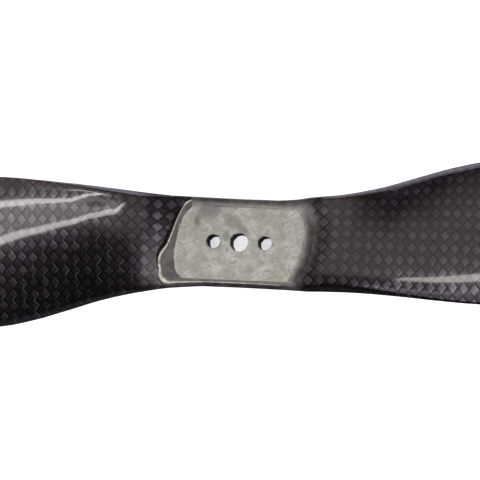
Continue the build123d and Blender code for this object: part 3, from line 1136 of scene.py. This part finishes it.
@dataclass
class ResinRidge:
    """The ridge of cured resin along the seam beside the top window."""

    shape: BladeShape = field(default_factory=BladeShape)
    outline: HubOutline = field(default_factory=HubOutline)
    finish: CuredResin = field(default_factory=CuredResin)
    steps: int = 8
    sides: int = 10
    height_share: float = 0.55
    roughness_mm: float = 0.16
    lump_mm: float = 0.9
    seed: float = 4.0
    search_steps: int = 30

    def build(self) -> Piece:
        """Build the ridge as a tube of changing width that is half sunk in the skin."""
        path = HubOutline.curve([point[:2] for point in self.outline.ridge], self.steps)
        widths = HubOutline.curve([(i, point[2]) for i, point in enumerate(self.outline.ridge)],
                                  self.steps)
        mesh = bpy.data.meshes.new("resin_ridge")
        line = [self._on_top(x, y) * MM for x, y in path]
        mesh.from_pydata(line, [(i, i + 1) for i in range(len(line) - 1)], [])
        width = mesh.attributes.new("width", "FLOAT", "POINT")
        for item, (_, value) in zip(width.data, widths):
            item.value = value / 2 * MM
        ridge = make_object("resin_ridge", mesh)
        grow = ridge.modifiers.new("ridge", "NODES")
        grow.node_group = self._tree()
        sizes = {"Sides": self.sides, "Height Share": self.height_share,
                 "Roughness": self.roughness_mm * MM, "Lump Scale": 1 / (self.lump_mm * MM),
                 "Seed": self.seed, "Material": self.finish.build()}
        for item in grow.node_group.interface.items_tree:
            if item.item_type == "SOCKET" and item.name in sizes:
                grow[item.identifier] = sizes[item.name]
        bake(ridge)
        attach(ridge, "root")
        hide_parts("seam_bead")
        LOG.info("%s: %d faces", ridge.name, len(ridge.data.polygons))
        return ridge

    def _on_top(self, x: float, y: float) -> Vector:
        """Return the point of the upper surface over a place in plan."""
        section = Section(self.shape, x)
        low, high = 0.0, 1.0
        for _ in range(self.search_steps):
            middle = (low + high) / 2
            if section.point(middle, 1).y < y:
                low = middle
            else:
                high = middle
        place = section.point(low, 1)
        place.z = min(place.z, self.outline.top_limit(place.x, place.y))
        return place

    @staticmethod
    def _tree() -> Tree:
        """Build the Geometry Nodes tree that grows a lumpy tube along a line."""
        tree = bpy.data.node_groups.new("resin_ridge_tube", "GeometryNodeTree")
        face = tree.interface
        face.new_socket("Geometry", in_out="INPUT", socket_type="NodeSocketGeometry")
        face.new_socket("Sides", in_out="INPUT", socket_type="NodeSocketInt")
        for name in ("Height Share", "Roughness", "Lump Scale", "Seed"):
            face.new_socket(name, in_out="INPUT", socket_type="NodeSocketFloat")
        face.new_socket("Material", in_out="INPUT", socket_type="NodeSocketMaterial")
        face.new_socket("Geometry", in_out="OUTPUT", socket_type="NodeSocketGeometry")
        given = add(tree, "NodeGroupInput").outputs
        width = add(tree, "GeometryNodeInputNamedAttribute", {"Name": "width"},
                    data_type="FLOAT").outputs[0]
        curve = add(tree, "GeometryNodeMeshToCurve", {0: given["Geometry"]})
        sized = add(tree, "GeometryNodeSetCurveRadius", {0: curve.outputs[0], 2: width})
        upright = add(tree, "GeometryNodeSetCurveNormal", {0: sized.outputs[0]})
        upright.mode = "Z_UP"
        profile = add(tree, "GeometryNodeCurvePrimitiveCircle",
                      {"Resolution": given["Sides"], "Radius": 1.0})
        flatten = add(tree, "ShaderNodeCombineXYZ", {0: 1.0, 1: given["Height Share"], 2: 1.0})
        flat = add(tree, "GeometryNodeTransform",
                   {"Geometry": profile.outputs[0], "Scale": flatten.outputs[0]})
        tube = add(tree, "GeometryNodeCurveToMesh",
                   {"Curve": upright.outputs[0], "Profile Curve": flat.outputs[0],
                    "Fill Caps": True})
        if "Scale" in tube.inputs:
            tree.links.new(width, tube.inputs["Scale"])
        lumps = add(tree, "ShaderNodeTexNoise", {"W": given["Seed"], "Scale": given["Lump Scale"]},
                    noise_dimensions="4D")
        push = vector_maths(tree, "SUBTRACT", lumps.outputs["Color"], (0.5, 0.5, 0.5))
        push = scaled(tree, push, given["Roughness"])
        lumpy = add(tree, "GeometryNodeSetPosition", {0: tube.outputs[0], "Offset": push})
        smooth = add(tree, "GeometryNodeSetShadeSmooth", {0: lumpy.outputs[0]})
        real = add(tree, "GeometryNodeRealizeInstances", {0: smooth.outputs[0]})
        dressed = add(tree, "GeometryNodeSetMaterial",
                      {0: real.outputs[0], "Material": given["Material"]})
        add(tree, "NodeGroupOutput", {0: dressed.outputs[0]})
        return tree


@dataclass
class InnerPieces:
    """The sealed pieces of the lay-up: they keep their CAD shapes and get finishes."""

    finishes: dict[str, InnerComposite] = field(default_factory=lambda: {
        "spar_cap": InnerComposite("carbon_tape_as_laid", "151517", "26272a",
                                   Grain.ALONG_BLADE, 0.3, 0.45),
        "hub_block": InnerComposite("pressed_carbon_plies", "17181b", "3a3b3f",
                                    Grain.STACKED_PLIES, 0.25, 0.5),
        "foam_core": InnerComposite("closed_cell_foam", "dcd8c8", "bdb8a4", Grain.EVEN, 0.6, 0.8),
        "roving": InnerComposite("carbon_rovings_in_epoxy", "19191b", "2d2e31",
                                 Grain.ALONG_BLADE, 0.4, 0.45),
        "filler": InnerComposite("filled_epoxy", "4a463c", "5d584a", Grain.EVEN, 0.5, 0.6),
    })

    def dress(self) -> None:
        """Give each sealed node the finish that its name calls for."""
        built = {key: finish.build() for key, finish in self.finishes.items()}
        for name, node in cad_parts.items():
            for key, material in built.items():
                if key in name:
                    for slot in node.material_slots:
                        slot.material = material
                    LOG.info("%s: %s", name, material.name)


# ---------------------------------------------------------------- studio

@dataclass(frozen=True)
class Strip:
    """One long soft lamp on the ceiling of the room.

    Places are slopes: how far a ray from the hub goes along x and y while it climbs by one.
    """

    name: str
    middle: tuple[float, float]
    bend: float
    reach: tuple[float, float]
    fade: float
    half_width: float
    soft: float
    radiance: float
    tint: str


@dataclass(frozen=True)
class Wash:
    """A wide dim light or shadow between the lamps: an oval in the same slopes."""

    name: str
    middle: tuple[float, float]
    size: tuple[float, float]
    turn: float
    radiance: float
    tint: str


@dataclass
class Room:
    """The room round the object: soft ceiling lamps, dark walls and a pale floor."""

    strips: Sequence[Strip] = (
        Strip("front_strip", (-0.35, -0.79), 0.45, (-0.75, 0.95), 0.25, 0.055, 0.05, 8.8,
              "fbfbf7"),
        Strip("middle_strip", (-0.40, -0.29), 1.1, (-0.75, 0.5), 0.15, 0.055, 0.05, 8.8,
              "fbfbf7"),
        Strip("back_strip", (0.12, 0.41), -1.4, (-0.33, 0.5), 0.25, 0.07, 0.05, 6.5, "fbfaf2"),
    )
    washes: Sequence[Wash] = (
        Wash("between_glow", (-0.15, -0.42), (0.95, 0.30), 0.25, 2.0, "f4f3ee"),
        Wash("smudge", (0.24, -0.33), (0.16, 0.10), 0.6, -1.8, "e8ecd8"),
        Wash("back_glow", (-0.9, 0.9), (1.6, 1.3), 0.0, 0.4, "f0dcd4"),
    )
    ceiling: float = 0.70
    ceiling_tint: str = "e8dcd8"
    front_dark: tuple[float, float] = (-1.15, -0.75)
    dark_share: float = 0.04
    wall: tuple[float, float] = (0.2, 0.4)
    wall_share: float = 0.03
    least_climb: float = 0.03
    nadir: tuple[float, float] = (-0.95, -0.45)
    nadir_share: float = 0.12
    floor_glow: float = 1.3
    floor_edge: tuple[float, float] = (0.07, 0.11)
    floor_front: tuple[float, float] = (-0.15, 0.3)
    floor_front_share: float = 0.12
    floor_tint: str = "e6e0f0"

    def build(self) -> None:
        """Build the room as the world's own light; the eye sees plain white."""
        world = bpy.data.worlds.new("room")
        bpy.context.scene.world = world
        world.use_nodes = True
        tree = world.node_tree
        tree.nodes.clear()
        ray = add(tree, "ShaderNodeTexCoord").outputs["Generated"]
        x, y, z = add(tree, "ShaderNodeSeparateXYZ", {0: ray}).outputs
        climb = maths(tree, "MAXIMUM", z, self.least_climb)
        u, v = maths(tree, "DIVIDE", x, climb), maths(tree, "DIVIDE", y, climb)
        front = spread(tree, v, *self.front_dark, self.dark_share, 1.0)
        total = scaled(tree, linear(self.ceiling_tint)[:3], times(tree, front, self.ceiling))
        for lights, shine in ((self.washes, self._wash), (self.strips, self._strip)):
            for light in lights:
                glow = scaled(tree, linear(light.tint)[:3], shine(tree, u, v, light))
                total = vector_maths(tree, "ADD", total, glow)
        total = scaled(tree, total, spread(tree, z, *self.wall, self.wall_share, 1.0))
        below = times(tree, spread(tree, z, *self.floor_edge, self.floor_glow, 0.0),
                      times(tree, spread(tree, z, *self.nadir, self.nadir_share, 1.0),
                            spread(tree, y, *self.floor_front, self.floor_front_share, 1.0)))
        total = vector_maths(tree, "ADD", total, scaled(tree, linear(self.floor_tint)[:3], below))
        seen = add(tree, "ShaderNodeLightPath").outputs["Is Camera Ray"]
        room = add(tree, "ShaderNodeBackground", {0: total, 1: 1.0})
        white = add(tree, "ShaderNodeBackground", {0: linear("ffffff"), 1: 1.0})
        both = add(tree, "ShaderNodeMixShader", {0: seen, 1: room.outputs[0], 2: white.outputs[0]})
        add(tree, "ShaderNodeOutputWorld", {0: both.outputs[0]})

    @staticmethod
    def _strip(tree: Tree, u: object, v: object,
               strip: Strip) -> Socket:
        """Return a strip's radiance: an even band along a bent line, with soft edges."""
        away = minus(tree, u, strip.middle[0])
        line = plus(tree, strip.middle[1], times(tree, strip.bend, times(tree, away, away)))
        slope = times(tree, 2 * strip.bend, away)
        lean = maths(tree, "SQRT", plus(tree, 1.0, times(tree, slope, slope)))
        off = maths(tree, "DIVIDE", maths(tree, "ABSOLUTE", minus(tree, v, line)), lean)
        band = spread(tree, off, strip.half_width - strip.soft / 2,
                      strip.half_width + strip.soft / 2, strip.radiance, 0.0)
        low, high = strip.reach
        ends = times(tree, spread(tree, u, low, low + strip.fade),
                     spread(tree, u, high - strip.fade, high, 1.0, 0.0))
        return times(tree, band, ends)

    @staticmethod
    def _wash(tree: Tree, u: object, v: object, wash: Wash) -> Socket:
        """Return a wash's radiance, falling off smoothly from its middle."""
        place = add(tree, "ShaderNodeCombineXYZ", {0: u, 1: v}).outputs[0]
        local = add(tree, "ShaderNodeMapping",
                    {"Vector": place, "Location": (*wash.middle, 0.0),
                     "Rotation": (0, 0, wash.turn), "Scale": (*wash.size, 1.0)},
                    vector_type="TEXTURE").outputs[0]
        reach = add(tree, "ShaderNodeVectorMath", {0: local}, operation="LENGTH").outputs[1]
        return spread(tree, reach, 0.6, 1.25, wash.radiance, 0.0)


@dataclass
class Studio:
    """Pale floor, a soft fill lamp, the room and the camera."""

    floor_size: float = 12.0
    fill_place: tuple[float, float, float] = (-0.25, 0.35, 1.1)
    fill_size: float = 0.7
    fill_watts: float = 0.8
    camera_distance: float = 0.8
    lens: float = 258.3
    lean: tuple[float, float] = (0.1230, -0.0731)
    roll: float = math.radians(2.3)
    aim_right: float = -0.209
    aim_up: float = 0.813

    def build(self) -> None:
        """Set up the floor, the lamps, the room and the camera."""
        self._floor()
        self._fill()
        Room().build()
        self._camera()
        view = bpy.context.scene.view_settings
        view.view_transform = "Standard"
        view.look = "None"

    def _floor(self) -> None:
        """Lay a plain white floor under the hub, which the gloss doesn't mirror."""
        half = self.floor_size / 2
        level = CAD_BOX[0][2] - 0.02 * MM
        mesh = bpy.data.meshes.new("floor")
        corners = [(-half, -half, level), (half, -half, level), (half, half, level),
                   (-half, half, level)]
        mesh.from_pydata(corners, [], [(0, 1, 2, 3)])
        floor = make_object("floor", mesh)
        floor.visible_glossy = False
        material, tree, shader = new_material("white_paper")
        plug(tree, shader, {"Base Color": linear("f7f7f7"), "Roughness": 0.9,
                            "Emission Color": linear("f6f8ff"), "Emission Strength": 0.52})
        mesh.materials.append(material)

    def _fill(self) -> None:
        """Hang a wide fill lamp that lights the matte faces but leaves no mirror image."""
        lamp = bpy.data.lights.new("fill", "AREA")
        lamp.shape = "SQUARE"
        lamp.size = self.fill_size
        lamp.energy = self.fill_watts
        holder = bpy.data.objects.new("fill", lamp)
        bpy.context.scene.collection.objects.link(holder)
        place = Vector(self.fill_place)
        turn = place.to_track_quat("Z", "Y").to_matrix().to_4x4()
        holder.matrix_world = Matrix.Translation(place) @ turn
        holder.visible_glossy = False

    def _camera(self) -> None:
        """Stand the camera nearly over the hub, a little to the right and below."""
        back = Vector((*self.lean, 1.0)).normalized()
        level = Vector((math.cos(self.roll), math.sin(self.roll), 0))
        right = (level - back * level.dot(back)).normalized()
        up = back.cross(right)
        target = Vector((0, 0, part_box("hub_top_facing")[1].z / 2))
        target += right * self.aim_right * MM + up * self.aim_up * MM
        lens = bpy.data.cameras.new("camera")
        lens.lens = self.lens
        lens.clip_start = 0.01
        lens.clip_end = 50
        camera = bpy.data.objects.new("camera", lens)
        bpy.context.scene.collection.objects.link(camera)
        turn = Matrix((right, up, back)).transposed()
        place = target + back * self.camera_distance
        camera.matrix_world = Matrix.Translation(place) @ turn.to_4x4()
        bpy.context.scene.camera = camera


def main() -> None:
    """Build every sub-assembly in order."""
    logging.basicConfig(level=logging.INFO, format="%(name)s: %(message)s")
    WovenSkins().build()
    HubFacings().build()
    ResinRidge().build()
    InnerPieces().dress()
    Studio().build()


if __name__ == "__main__":
    main()
